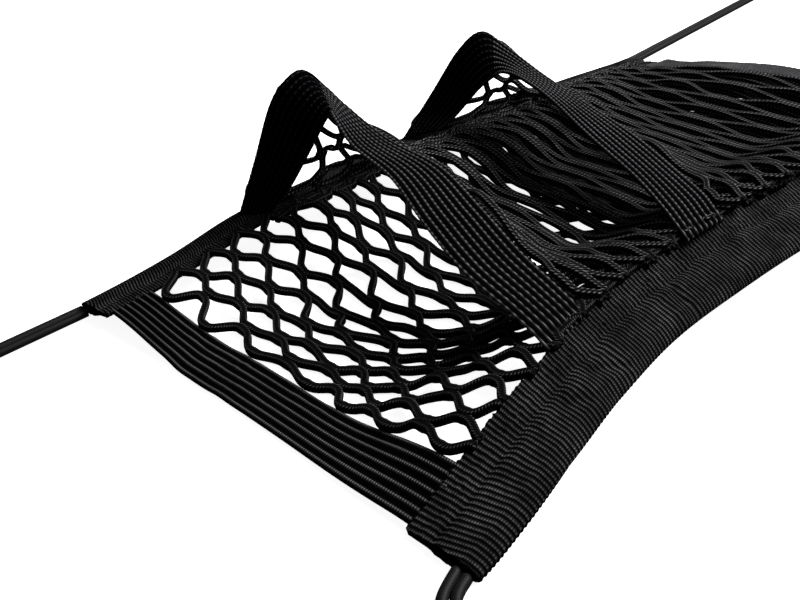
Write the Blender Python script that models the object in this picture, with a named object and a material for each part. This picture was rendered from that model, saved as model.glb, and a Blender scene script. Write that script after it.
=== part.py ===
"""Car seat storage net with two elastic-topped pockets, lying open on a flat surface.

The net lies with its length along X. X, Y and Z in the tables below are millimetres from the
outer edge of the end band, from the near corner and from the surface. Every solid is shifted
by CENTRE, so that the middle of the object, its cords left out, is at the origin.
"""

import math
from collections import namedtuple

import bpy
import bmesh
from mathutils import Vector

MM = 0.001
CENTRE = Vector((231.0, 126.6, 0.0))

GAP = 0.4
HEM_GAP = 1.1
SEWN_OFFSET = 2.6

BINDING_WIDTH = 32.0
TUBE_HALF = 2.6
HEM_HALF = 1.1
ELASTIC_WIDTH = 30.0
ELASTIC_HALF = 0.9
NET_HALF = 1.0
POCKET_NET_HALF = 0.8
CLOSED_END_WIDTH = 26.0
CLOSED_END_HALF = 1.3

CORD_DIAMETER = 4.2
CORD_STEP = 12.0
CORD_GAP = 0.6

END_BAND_OUTER_X = 2.0
END_BAND_WIDTH = 28.0
END_BAND_INNER_X = END_BAND_OUTER_X + END_BAND_WIDTH
NEAR_RISE_REACH = 60.0
FAR_RISE_REACH = 60.0
END_RISE_REACH = 70.0
SEWN_LAYER = 2.4
LOOSE_LAYER = 3.5
POCKET_1_LANDS_X = 228.0
POCKET_2_LANDS_X = 350.0
POCKET_SLOPE_POWER = 3.5
SEWN_BEHIND_FROM_Y = 185.0
SEWN_BEHIND_REACH = 40.0
SEWN_BEHIND_FOOT = 2.0
SEWN_BEHIND_DEG = 105.0
SLACK_SHARE = 0.15
CLOSED_END_BLEND = 0.25
SHARP_EDGE = math.radians(40.0)

# One row for each place along a side binding: the height and place of its outer edge, and how
# far its hem edge is tipped up.
Side = namedtuple("Side", "x y z tilt_deg")
NEAR_SIDE = (
    Side(0, -5, 0, 0),
    Side(33, 0, 0, 13),
    Side(60, 6, 0, 27),
    Side(100, 14, 0, 36),
    Side(150, 20, 0, 38),
    Side(200, 19, 0, 40),
    Side(255, 15, 0, 38),
    Side(320, 7, 0, 30),
    Side(380, 1, 0, 20),
    Side(430, -3, 0, 10),
    Side(462, -5, 0, 5),
)
FAR_SIDE = (
    Side(0, 258, 0, 11),
    Side(45, 257, 4, 11),
    Side(95, 256, 12, 11),
    Side(155, 256, 13, 10),
    Side(215, 256, 13, 10),
    Side(300, 257, 8, 10),
    Side(380, 258, 3, 9),
    Side(450, 254, 0, 6),
)

# One row for each place across the closed end, from the near side to the far side: its outer
# edge.
End = namedtuple("End", "share x z")
CLOSED_END = (
    End(0.0, 460, 3),
    End(0.25, 453, 10),
    End(0.5, 448, 15),
    End(0.75, 446, 10),
    End(1.0, 449, 3),
)

# Cross-section of a side binding, a folded tape whose outer part is a flat tube and whose inner
# part is the stitched hem: how far in from the outer edge, and half the thickness there.
Fold = namedtuple("Fold", "inward half")
BINDING_SECTION = (
    Fold(0.0, 0.9),
    Fold(1.6, 2.1),
    Fold(5.0, TUBE_HALF),
    Fold(16.0, TUBE_HALF),
    Fold(20.0, 1.6),
    Fold(22.5, HEM_HALF),
    Fold(BINDING_WIDTH, HEM_HALF),
)

# One row for each place along a pocket band, from its far end over the peak to its near end.
# The sewn edge carries the pocket net and the free edge is the pocket's mouth.
Strip = namedtuple("Strip", "sewn free")
POCKET_BAND_1 = (
    Strip((90, 243, 20.4), (96, 224, 23)),
    Strip((105, 242, 47), (104, 214, 37)),
    Strip((110, 229, 76), (116, 203, 61)),
    Strip((117, 223, 88), (119, 198, 70)),
    Strip((128, 221, 91), (122, 196, 75)),
    Strip((138, 218, 80), (122, 195, 76)),
    Strip((145, 212, 69), (122, 193, 73)),
    Strip((151, 188, 54), (123, 183, 61)),
    Strip((149, 149, 49), (120, 155, 53)),
    Strip((135, 111, 44), (107, 121, 44)),
    Strip((124, 80, 37), (95, 88, 38)),
    Strip((120, 58, 30), (91, 60, 31)),
    Strip((118, 44, 25), (89, 40.5, 24.6)),
)
POCKET_BAND_2 = (
    Strip((214, 246, 21.2), (222, 223, 28.4)),
    Strip((241, 246, 42), (234, 220, 34)),
    Strip((251, 232, 67), (242, 209, 49)),
    Strip((260, 221, 77), (247, 202, 56)),
    Strip((271, 211, 66), (248, 195, 60)),
    Strip((278, 190, 51), (250, 184, 58)),
    Strip((276, 160, 41), (248, 163, 51)),
    Strip((262, 116, 35), (234, 127, 42)),
    Strip((244, 78, 30), (216, 87, 36)),
    Strip((230, 55, 29), (201, 61, 32)),
    Strip((218, 41.5, 28.4), (189, 42.5, 28.4)),
)

# Gaps of the mesh that are cut through the base net, in two rows: where a row starts, and how
# far on the next gap is.
HoleRow = namedtuple("HoleRow", "x y step_x step_y")
HOLE_ROWS = (
    HoleRow(50.0, 175.0, 18.3, -3.0),
    HoleRow(60.0, 136.0, 17.4, -4.3),
)
HOLES_PER_ROW = 4
HOLE_LENGTH = 26.0
HOLE_WIDTH = 11.0
HOLE_STRAIGHT_SHARE = 0.6
CUTTER_BOTTOM = -10.0
CUTTER_TOP = 30.0

# Each corner cord runs out of the end of a side binding to a plain loop and back: where it
# leaves, which way it leaves and then runs, the length of the bend between, how long it is, and
# how wide its loop is.
Cord = namedtuple("Cord", "name x y leaves_deg heading_deg bend length loop_width")
CORDS = (
    Cord("corner_cord_far_open", -CORD_GAP, 251.0, 180.0, 180.0, 22.0, 80.0, 15.0),
    Cord("corner_cord_near_open", -2.5 * CORD_GAP, 1.0, 180.0, 226.0, 12.0, 46.0, 15.0),
    Cord("corner_cord_far_closed", 450.0 + CORD_GAP, 247.5, 0.0, 3.5, 22.0, 252.0, 15.0),
    Cord("corner_cord_near_closed", 462.0 + CORD_GAP, 1.0, 0.0, -31.0, 22.0, 66.0, 15.0),
)
STRAND_SPACING = 5.0
CORD_LIFT = 0.1
CORD_PIECES = 24

# Half of a cord's loop in shares of its radius: how far past the neck, and how far out.
LoopPoint = namedtuple("LoopPoint", "reach out")
LOOP_LENGTH = 3.2
HALF_LOOP = (
    LoopPoint(0.7, 0.5),
    LoopPoint(1.4, 0.92),
    LoopPoint(2.2, 1.0),
    LoopPoint(2.85, 0.72),
    LoopPoint(3.15, 0.27),
)

BINDING_STEPS = 40
BAND_STEPS_PER_ROW = 3
POCKET_STEPS_PER_ROW = 2
STRIP_STEPS = 3
NET_COLUMNS = 16
BASE_NET_ROWS = 30
POCKET_1_ROWS = 18
POCKET_2_ROWS = 12
SLOPE_STEP = 1.0


def new_material(name, colour, roughness):
    material = bpy.data.materials.new(name)
    material.use_nodes = True
    shader = material.node_tree.nodes["Principled BSDF"]
    shader.inputs["Base Color"].default_value = (*colour, 1.0)
    shader.inputs["Roughness"].default_value = roughness
    shader.inputs["Metallic"].default_value = 0.0
    return material


def add_object(name, data, material):
    data.materials.append(material)
    placed = bpy.data.objects.new(name, data)
    placed.location = -CENTRE * MM
    bpy.context.scene.collection.objects.link(placed)
    return placed


def blend(start, end, share):
    return start + (end - start) * share


def hermite(before, start, end, after, share):
    """Catmull-Rom value between start and end, for numbers or vectors."""
    return 0.5 * (
        2.0 * start
        + (end - before) * share
        + (2.0 * before - 5.0 * start + 4.0 * end - after) * share**2
        + (3.0 * start - before - 3.0 * end + after) * share**3
    )


def smooth_value(values, place):
    """The smooth curve through evenly spaced values, at a place from 0 to their count less 1."""
    first = min(int(place), len(values) - 2)
    before = values[max(first - 1, 0)]
    after = values[min(first + 2, len(values) - 1)]
    return hermite(before, values[first], values[first + 1], after, place - first)


def table_value(table, key, column, at):
    """The column's value where the key column equals at, smoothed between the table's rows."""
    keys = [getattr(row, key) for row in table]
    at = min(max(at, keys[0]), keys[-1])
    first = max(i for i in range(len(keys) - 1) if keys[i] <= at)
    share = (at - keys[first]) / (keys[first + 1] - keys[first])
    return smooth_value([float(getattr(row, column)) for row in table], first + share)


def side_point(table, x, inward, lift=0.0):
    """A point of a side binding: inward from its outer edge, lifted off its middle surface."""
    side = 1.0 if table is NEAR_SIDE else -1.0
    tilt = math.radians(table_value(table, "x", "tilt_deg", x))
    y = table_value(table, "x", "y", x)
    z = table_value(table, "x", "z", x) + TUBE_HALF
    return Vector((
        x,
        y + side * (inward * math.cos(tilt) - lift * math.sin(tilt)),
        z + inward * math.sin(tilt) + lift * math.cos(tilt),
    ))


def hem_edge(table, x):
    return side_point(table, x, BINDING_WIDTH + HEM_GAP)


def closed_end_inner_x(share):
    return table_value(CLOSED_END, "share", "x", share) - CLOSED_END_WIDTH - GAP


def closed_end_inner_z(share):
    return table_value(CLOSED_END, "share", "z", share) + CLOSED_END_HALF


def rise(distance, reach):
    """1 at an edge, 0 from its reach on, level at both ends."""
    return 0.5 + 0.5 * math.cos(math.pi * min(max(distance / reach, 0.0), 1.0))


def ground_height(x, y, share, half):
    """Middle height of a cloth that sags from the bindings to the surface between them."""
    near = hem_edge(NEAR_SIDE, x)
    far = hem_edge(FAR_SIDE, x)
    lifted = (near.z - half) * rise(abs(y - near.y), NEAR_RISE_REACH)
    lifted += (far.z - half) * rise(abs(far.y - y), FAR_RISE_REACH)
    end_lift = closed_end_inner_z(share) - half - lifted
    lifted += max(0.0, end_lift) * rise(closed_end_inner_x(share) - x, END_RISE_REACH)
    return half + lifted


def ground_point(x, share, half, above=0.0):
    """A point between the two hems, share of the way from the near one to the far one.

    It is lifted off the sagging cloth's middle by above, square to the cloth.
    """
    y = blend(hem_edge(NEAR_SIDE, x).y, hem_edge(FAR_SIDE, x).y, share)
    z = ground_height(x, y, share, half)
    rise_x = ground_height(x + SLOPE_STEP, y, share, half) - z
    rise_y = ground_height(x, y + SLOPE_STEP, share, half) - z
    upward = Vector((-rise_x, -rise_y, SLOPE_STEP)).normalized()
    return Vector((x, y, z)) + upward * above


def layer_lift(share, layer):
    """How far a pocket net lies over the base net: close where they are sewn, looser between."""
    loose = 1.0 - rise(min(share, 1.0 - share), SLACK_SHARE)
    return layer * blend(SEWN_LAYER, LOOSE_LAYER, loose)


def grid_normals(grid):
    rows = len(grid)
    columns = len(grid[0])
    normals = []
    for i in range(rows):
        line = []
        for j in range(columns):
            along = grid[min(i + 1, rows - 1)][j] - grid[max(i - 1, 0)][j]
            across = grid[i][min(j + 1, columns - 1)] - grid[i][max(j - 1, 0)]
            line.append(along.cross(across).normalized())
        normals.append(line)
    return normals


def sheet_mesh(name, grid, half):
    """A closed sheet of the given half thickness around a grid of middle points."""
    rows = len(grid)
    columns = len(grid[0])
    normals = grid_normals(grid)
    shape = bmesh.new()
    layers = []
    for sign in (1.0, -1.0):
        layer = [
            [
                shape.verts.new((grid[i][j] + sign * half * normals[i][j]) * MM)
                for j in range(columns)
            ]
            for i in range(rows)
        ]
        layers.append(layer)
    top, bottom = layers
    for i in range(rows - 1):
        for j in range(columns - 1):
            shape.faces.new((top[i][j], top[i + 1][j], top[i + 1][j + 1], top[i][j + 1]))
            shape.faces.new(
                (bottom[i][j], bottom[i][j + 1], bottom[i + 1][j + 1], bottom[i + 1][j])
            )
    rim = [(i, 0) for i in range(rows)]
    rim += [(rows - 1, j) for j in range(1, columns)]
    rim += [(i, columns - 1) for i in range(rows - 2, -1, -1)]
    rim += [(0, j) for j in range(columns - 2, 0, -1)]
    for (i, j), (k, m) in zip(rim, rim[1:] + rim[:1]):
        shape.faces.new((top[i][j], bottom[i][j], bottom[k][m], top[k][m]))
    mesh = bpy.data.meshes.new(name)
    shape.to_mesh(mesh)
    shape.free()
    mesh.shade_smooth()
    mesh.set_sharp_from_angle(angle=SHARP_EDGE)
    return mesh


def swept_mesh(name, rings):
    """A closed body through a row of rings of points, capped at both ends."""
    shape = bmesh.new()
    loops = [[shape.verts.new(point * MM) for point in ring] for ring in rings]
    count = len(loops[0])
    for ring, following in zip(loops, loops[1:]):
        for k in range(count):
            after = (k + 1) % count
            shape.faces.new((ring[k], ring[after], following[after], following[k]))
    shape.faces.new(loops[0])
    shape.faces.new(loops[-1])
    bmesh.ops.recalc_face_normals(shape, faces=shape.faces)
    mesh = bpy.data.meshes.new(name)
    shape.to_mesh(mesh)
    shape.free()
    mesh.shade_smooth()
    mesh.set_sharp_from_angle(angle=SHARP_EDGE)
    return mesh


def side_binding(name, table, material):
    start = table[0].x
    end = table[-1].x
    rings = []
    for step in range(BINDING_STEPS + 1):
        x = blend(start, end, step / BINDING_STEPS)
        upper = [side_point(table, x, fold.inward, fold.half) for fold in BINDING_SECTION]
        lower = [side_point(table, x, fold.inward, -fold.half) for fold in BINDING_SECTION]
        rings.append(upper + lower[::-1])
    return add_object(name, swept_mesh(name, rings), material)


def closed_end_binding(material):
    """The folded tape along the closed end, between the two side bindings."""
    rows = []
    for step in range(NET_COLUMNS + 1):
        share = step / NET_COLUMNS
        outer_x = table_value(CLOSED_END, "share", "x", share)
        middle_z = closed_end_inner_z(share)
        line = []
        for part in range(STRIP_STEPS + 1):
            x = outer_x - CLOSED_END_WIDTH * part / STRIP_STEPS
            near = hem_edge(NEAR_SIDE, x)
            far = hem_edge(FAR_SIDE, x)
            side_z = blend(near.z, far.z, share)
            edge = rise(min(share, 1.0 - share), CLOSED_END_BLEND)
            line.append(Vector((
                x,
                blend(near.y, far.y, share),
                blend(middle_z, side_z, edge),
            )))
        rows.append(line)
    mesh = sheet_mesh("closed_end_binding", rows, CLOSED_END_HALF)
    return add_object("closed_end_binding", mesh, material)


def end_band(material):
    """The wide elastic across the open end."""
    rows = []
    for step in range(NET_COLUMNS + 1):
        share = step / NET_COLUMNS
        rows.append([
            ground_point(
                blend(END_BAND_OUTER_X, END_BAND_INNER_X, part / STRIP_STEPS),
                share,
                ELASTIC_HALF,
            )
            for part in range(STRIP_STEPS + 1)
        ])
    mesh = sheet_mesh("open_end_elastic", rows, ELASTIC_HALF)
    return add_object("open_end_elastic", mesh, material)


def strip_edges(table, place):
    """The sewn and the free edge of a pocket band, at a place counted in rows of its table."""
    sewn = smooth_value([Vector(row.sewn) for row in table], place)
    free = smooth_value([Vector(row.free) for row in table], place)
    return sewn, free


def net_start(table, place):
    """Where a pocket net leaves its band: behind the band's far part, beside its near part."""
    sewn, free = strip_edges(table, place)
    last = len(table) - 1
    earlier, _ = strip_edges(table, max(place - 0.5, 0.0))
    later, _ = strip_edges(table, min(place + 0.5, last))
    outward = (sewn - free).normalized()
    backward = outward.cross(later - earlier).normalized()
    behind = 1.0 - rise(sewn.y - SEWN_BEHIND_FROM_Y, SEWN_BEHIND_REACH)
    behind *= 1.0 - rise(place, SEWN_BEHIND_FOOT)
    turned = math.radians(SEWN_BEHIND_DEG * behind)
    return sewn + (outward * math.cos(turned) + backward * math.sin(turned)) * SEWN_OFFSET


def pocket_band(name, table, material):
    """An elastic strip that stands up as a tent over its pocket's mouth."""
    steps = BAND_STEPS_PER_ROW * (len(table) - 1)
    rows = []
    for step in range(steps + 1):
        sewn, free = strip_edges(table, step / BAND_STEPS_PER_ROW)
        rows.append([blend(sewn, free, part / STRIP_STEPS) for part in range(STRIP_STEPS + 1)])
    return add_object(name, sheet_mesh(name, rows, ELASTIC_HALF), material)


def base_net(material):
    rows = []
    for row in range(BASE_NET_ROWS + 1):
        line = []
        for column in range(NET_COLUMNS + 1):
            share = column / NET_COLUMNS
            start = END_BAND_INNER_X + GAP
            x = blend(start, closed_end_inner_x(share) - GAP, row / BASE_NET_ROWS)
            line.append(ground_point(x, share, NET_HALF))
        rows.append(line)
    net = add_object("base_net", sheet_mesh("base_net", rows, NET_HALF), material)
    cutter = hole_cutter()
    cut = net.modifiers.new("mesh_gaps", "BOOLEAN")
    cut.operation = "DIFFERENCE"
    cut.solver = "EXACT"
    cut.object = cutter
    return net


def hole_cutter():
    """One prism with six sides for each stated gap of the mesh, long across the net."""
    half_width = HOLE_WIDTH / 2
    tip = HOLE_LENGTH / 2
    shoulder = tip * HOLE_STRAIGHT_SHARE
    outline = (
        (0.0, -tip),
        (half_width, -shoulder),
        (half_width, shoulder),
        (0.0, tip),
        (-half_width, shoulder),
        (-half_width, -shoulder),
    )
    middles = [
        (row.x + row.step_x * k, row.y + row.step_y * k)
        for row in HOLE_ROWS
        for k in range(HOLES_PER_ROW)
    ]
    shape = bmesh.new()
    for middle_x, middle_y in middles:
        corners = [(middle_x + along, middle_y + across) for along, across in outline]
        low = [shape.verts.new(Vector((x, y, CUTTER_BOTTOM)) * MM) for x, y in corners]
        high = [shape.verts.new(Vector((x, y, CUTTER_TOP)) * MM) for x, y in corners]
        shape.faces.new(low[::-1])
        shape.faces.new(high)
        for k in range(len(corners)):
            after = (k + 1) % len(corners)
            shape.faces.new((low[k], low[after], high[after], high[k]))
    bmesh.ops.recalc_face_normals(shape, faces=shape.faces)
    mesh = bpy.data.meshes.new("mesh_gap_cutter")
    shape.to_mesh(mesh)
    shape.free()
    cutter = bpy.data.objects.new("mesh_gap_cutter", mesh)
    cutter.location = -CENTRE * MM
    cutter.hide_render = True
    cutter.display_type = "WIRE"
    bpy.context.scene.collection.objects.link(cutter)
    return cutter


def pocket_net(name, table, layer, lands_x, rows_count, material):
    """A net from a pocket band's sewn edge down to the cloth below it and on to the closed end."""
    steps = POCKET_STEPS_PER_ROW * (len(table) - 1)
    rows = []
    for step in range(steps + 1):
        start = net_start(table, step / POCKET_STEPS_PER_ROW)
        near_y = hem_edge(NEAR_SIDE, start.x).y
        far_y = hem_edge(FAR_SIDE, start.x).y
        share = min(max((start.y - near_y) / (far_y - near_y), 0.0), 1.0)
        end_x = closed_end_inner_x(share) - GAP
        above = layer_lift(share, layer)
        start_level = ground_point(start.x, share, NET_HALF, above).z
        line = []
        for row in range(rows_count + 1):
            x = blend(start.x, end_x, row / rows_count)
            level = ground_point(x, share, NET_HALF, above)
            fall = max(0.0, 1.0 - (x - start.x) / (lands_x - start.x)) ** POCKET_SLOPE_POWER
            height = level.z + (start.z - start_level) * fall
            y = level.y + (start.y - blend(near_y, far_y, share)) * fall
            line.append(Vector((level.x, y, height)))
        rows.append(line)
    return add_object(name, sheet_mesh(name, rows, POCKET_NET_HALF), material)


def heading_run(degrees):
    heading = math.radians(degrees)
    return Vector((math.cos(heading), math.sin(heading), 0.0))


def cord_middle(cord, reach):
    """The middle of a cord's two strands, reach along it, and the way that it runs there."""
    place = Vector((cord.x, cord.y, CORD_DIAMETER / 2 + CORD_LIFT))
    run = heading_run(cord.leaves_deg)
    for piece in range(CORD_PIECES):
        done = reach * (piece + 0.5) / CORD_PIECES
        turned = 1.0 - rise(done, cord.bend)
        run = heading_run(blend(cord.leaves_deg, cord.heading_deg, turned))
        place = place + run * reach / CORD_PIECES
    return place, run


def cord_route(cord):
    """Points of one cord: out beside its middle, round the loop and back."""
    half = STRAND_SPACING / 2
    radius = cord.loop_width / 2
    neck = cord.length - LOOP_LENGTH * radius
    steps = round(neck / CORD_STEP)
    out = [(neck * step / steps, half) for step in range(steps + 1)]
    out += [(neck + point.reach * radius, point.out * radius) for point in HALF_LOOP]
    back = [(reach, -side) for reach, side in reversed(out)]
    route = []
    for reach, side in out + back:
        place, run = cord_middle(cord, reach)
        route.append(place + Vector((-run.y, run.x, 0.0)) * side)
    return route


def corner_cord(cord, material):
    route = cord_route(cord)
    curve = bpy.data.curves.new(cord.name, "CURVE")
    curve.dimensions = "3D"
    curve.bevel_depth = CORD_DIAMETER / 2 * MM
    curve.bevel_resolution = 2
    curve.use_fill_caps = True
    line = curve.splines.new("POLY")
    line.points.add(len(route) - 1)
    for point, place in zip(line.points, route):
        point.co = (*(place * MM), 1.0)
    return add_object(cord.name, curve, material)


def build():
    for old in list(bpy.data.objects):
        bpy.data.objects.remove(old, do_unlink=True)
    tape = new_material("black_grosgrain_tape", (0.014, 0.014, 0.015), 0.8)
    elastic = new_material("black_ribbed_elastic", (0.010, 0.010, 0.011), 0.75)
    mesh = new_material("black_net_cord", (0.009, 0.009, 0.010), 0.7)
    cord_sheath = new_material("black_cord_sheath", (0.018, 0.018, 0.020), 0.5)
    side_binding("near_side_binding", NEAR_SIDE, tape)
    side_binding("far_side_binding", FAR_SIDE, tape)
    closed_end_binding(tape)
    end_band(elastic)
    pocket_band("pocket_elastic_1", POCKET_BAND_1, elastic)
    pocket_band("pocket_elastic_2", POCKET_BAND_2, elastic)
    base_net(mesh)
    pocket_net("pocket_net_1", POCKET_BAND_1, 1, POCKET_1_LANDS_X, POCKET_1_ROWS, mesh)
    pocket_net("pocket_net_2", POCKET_BAND_2, 2, POCKET_2_LANDS_X, POCKET_2_ROWS, mesh)
    for cord in CORDS:
        corner_cord(cord, cord_sheath)


build()
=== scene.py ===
"""Looks of the car seat storage net: its knotless mesh, ribbed elastics, tape bindings and cords.

The tables give millimetres from the outer edge of the open end, from the near corner and from the
floor, as the CAD does. ORIGIN is the row frame's origin there. X runs from the open end to the
closed end, Y from the near side to the far side.
"""

import math
from collections import namedtuple

import bpy
import numpy as np
from mathutils import Matrix, Vector


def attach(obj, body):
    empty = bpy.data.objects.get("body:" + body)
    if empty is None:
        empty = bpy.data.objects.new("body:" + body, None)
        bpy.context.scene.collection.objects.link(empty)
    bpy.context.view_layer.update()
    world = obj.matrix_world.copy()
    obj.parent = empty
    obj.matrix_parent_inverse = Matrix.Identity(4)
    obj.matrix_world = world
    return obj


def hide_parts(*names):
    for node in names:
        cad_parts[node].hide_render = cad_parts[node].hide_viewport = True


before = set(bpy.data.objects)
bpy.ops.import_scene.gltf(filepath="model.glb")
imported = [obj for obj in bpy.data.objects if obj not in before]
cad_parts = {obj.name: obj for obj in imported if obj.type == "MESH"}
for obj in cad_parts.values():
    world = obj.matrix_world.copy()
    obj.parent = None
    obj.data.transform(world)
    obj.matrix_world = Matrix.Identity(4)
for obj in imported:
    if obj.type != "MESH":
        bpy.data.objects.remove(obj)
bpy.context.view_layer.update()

MM = 0.001
ORIGIN = np.array([231.0, 126.6, 0.0])
TAU = 2.0 * math.pi

# ---- The camera and the corner cords

CAMERA_PLACE = (-144.8, -146.6, 227.4)
CAMERA_HEADING_DEG = 48.85
CAMERA_DOWN_DEG = 30.99
CAMERA_ROLL_DEG = -5.72
CAMERA_LENS = 42.02
CAMERA_NEAREST = 0.01

CORD_DIAMETER = 4.2
CORD_STEP = 12.0
CORD_GAP = 0.6
CORD_LIFT = 0.1
CORD_PIECES = 24
CORD_SIDES = 14
CORD_SMOOTHING = 8
CORD_POINT_STEP = 1.2
STRAND_SPACING = 4.4

Cord = namedtuple("Cord", "name x y leaves_deg heading_deg bend length")
CORDS = (
    Cord("corner_cord_far_open", -CORD_GAP, 251.0, 180.0, 180.0, 22.0, 80.0),
    Cord("corner_cord_near_open", -2.5 * CORD_GAP, 1.0, 180.0, 226.0, 12.0, 46.0),
    Cord("corner_cord_far_closed", 450.0 + CORD_GAP, 247.5, 0.0, 3.5, 22.0, 252.0),
    Cord("corner_cord_near_closed", 462.0 + CORD_GAP, 1.0, 0.0, -31.0, 22.0, 66.0),
)

# Half of a cord's loop in shares of its radius: how far past the neck, and how far out.
LoopPoint = namedtuple("LoopPoint", "reach out")
LOOP_WIDTH = 15.0
LOOP_LENGTH = 3.2
HALF_LOOP = (
    LoopPoint(0.7, 0.5),
    LoopPoint(1.4, 0.92),
    LoopPoint(2.2, 1.0),
    LoopPoint(2.85, 0.72),
    LoopPoint(3.15, 0.27),
)

# ---- The shape that the net lies in, as in the CAD

HEM_GAP = 1.1
HEM_OVERLAP = 0.8
SEWN_OFFSET = 2.6
BINDING_WIDTH = 32.0
TUBE_HALF = 2.6
HEM_HALF = 1.1
ELASTIC_WIDTH = 30.0
NET_HALF = 1.0
CLOSED_END_WIDTH = 26.0
CLOSED_END_HALF = 1.3
CLOSED_END_BLEND = 0.25
END_BAND_OUTER_X = 2.0
END_BAND_WIDTH = 28.0
SIDE_RISE_REACH = 60.0
END_RISE_REACH = 70.0
SEWN_LAYER = 2.4
LOOSE_LAYER = 3.5
SLACK_SHARE = 0.15
POCKET_SLOPE_POWER = 3.5
BEHIND_FROM_Y = 185.0
BEHIND_REACH = 40.0
BEHIND_FOOT = 0.9
BEHIND_DEG = 105.0
TANGENT_STEP = 0.5

Side = namedtuple("Side", "x y z tilt_deg")
NEAR_SIDE = (
    Side(0, -5, 0, 0),
    Side(33, 0, 0, 13),
    Side(60, 6, 0, 27),
    Side(100, 14, 0, 36),
    Side(150, 20, 0, 38),
    Side(200, 19, 0, 40),
    Side(255, 15, 0, 38),
    Side(320, 7, 0, 30),
    Side(380, 1, 0, 20),
    Side(430, -3, 0, 10),
    Side(462, -5, 0, 5),
)
FAR_SIDE = (
    Side(0, 258, 0, 11),
    Side(45, 257, 4, 11),
    Side(95, 256, 12, 11),
    Side(155, 256, 13, 10),
    Side(215, 256, 13, 10),
    Side(300, 257, 8, 10),
    Side(380, 258, 3, 9),
    Side(450, 254, 0, 6),
)

End = namedtuple("End", "share x z")
CLOSED_END = (
    End(0.0, 460, 3),
    End(0.25, 453, 10),
    End(0.5, 448, 15),
    End(0.75, 446, 10),
    End(1.0, 449, 3),
)

Fold = namedtuple("Fold", "inward half")
BINDING_SECTION = (
    Fold(0.0, 0.9),
    Fold(1.6, 2.1),
    Fold(5.0, TUBE_HALF),
    Fold(16.0, TUBE_HALF),
    Fold(20.0, 1.6),
    Fold(22.5, HEM_HALF),
    Fold(BINDING_WIDTH, HEM_HALF),
)

Strip = namedtuple("Strip", "sewn free")
POCKET_BAND_1 = (
    Strip((90, 243, 20.4), (96, 224, 23)),
    Strip((105, 242, 47), (104, 214, 37)),
    Strip((110, 229, 76), (116, 203, 61)),
    Strip((117, 223, 88), (119, 198, 70)),
    Strip((128, 221, 91), (122, 196, 75)),
    Strip((138, 218, 80), (122, 195, 76)),
    Strip((145, 212, 69), (122, 193, 73)),
    Strip((151, 188, 54), (123, 183, 61)),
    Strip((149, 149, 49), (120, 155, 53)),
    Strip((135, 111, 44), (107, 121, 44)),
    Strip((124, 80, 37), (95, 88, 38)),
    Strip((120, 58, 30), (91, 60, 31)),
    Strip((118, 44, 25), (89, 40.5, 24.6)),
)
POCKET_BAND_2 = (
    Strip((214, 246, 21.2), (222, 223, 28.4)),
    Strip((241, 246, 42), (234, 220, 34)),
    Strip((251, 232, 67), (242, 209, 49)),
    Strip((260, 221, 77), (247, 202, 56)),
    Strip((271, 211, 66), (248, 195, 60)),
    Strip((278, 190, 51), (250, 184, 58)),
    Strip((276, 160, 41), (248, 163, 51)),
    Strip((262, 116, 35), (234, 127, 42)),
    Strip((244, 78, 30), (216, 87, 36)),
    Strip((230, 55, 29), (201, 61, 32)),
    Strip((218, 41.5, 28.4), (189, 42.5, 28.4)),
)

# ---- The mesh, the weaves and their finish

STRAND_RADIUS = 2.0
POCKET_STRAND_RADIUS = 1.65
STRAND_SIDES = 8
STRAND_STEP = 1.9
CORD_RIDGE = 0.1
KNOT_SWELL = 0.16
KNOT_REACH = 0.16

# Two strands touch at each junction, JUNCTION_HALF off its middle, and cross in between.
JUNCTION_HALF = 1.4
JUNCTION_SHARE = 0.1
JUNCTION_STEPS = 16

# Cells are long in the open field and dense towards the closed end. Places count cells.
BASE_STRANDS = range(-1, 65)
CELL_START_X = 41.0
OPEN_CELL = 19.0
CLOSED_CELL = 17.2
CELLS_CHANGE_AT = 4.5
DENSE_CELL = 9.5
DENSE_FROM = 11.0
SQUEEZE_REACH = 9.0
SQUEEZE_LEFT = 3.6
PAST_THE_NET_X = -100.0
CLOSED_END_TUCK = 1.0

# Where the rows change to the tent's shares and then the closed end's, and where they lean.
Change = namedtuple("Change", "from_cell reach")
TO_TENT = Change(1.0, 4.0)
TO_CLOSED = Change(8.0, 5.0)
LEAN_BEGINS = Change(-1.0, 5.0)
LEAN_ENDS = Change(7.0, 5.0)

# How uneven the nets are, in millimetres. Their rows' unevenness is a share of their width.
BASE_UNEVEN = 1.3
BASE_ROW_UNEVEN = 0.006
STRAND_SWAY = 0.5
STRAND_LIFT = 0.5
LAID_SHARE = 0.8
POCKET_UNEVEN = 0.3
POCKET_ROW_UNEVEN = 0.004
POCKET_STRAND_LIFT = 0.6

SELVEDGE_X = np.linspace(96.0, 418.0, 400)
Selvedge = namedtuple("Selvedge", "share swing lift turn")
SELVEDGES = (
    Selvedge(0.003, 0.0015, 0.0, 0.0),
    Selvedge(0.026, 0.01, 0.6, 1.0),
)

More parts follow.
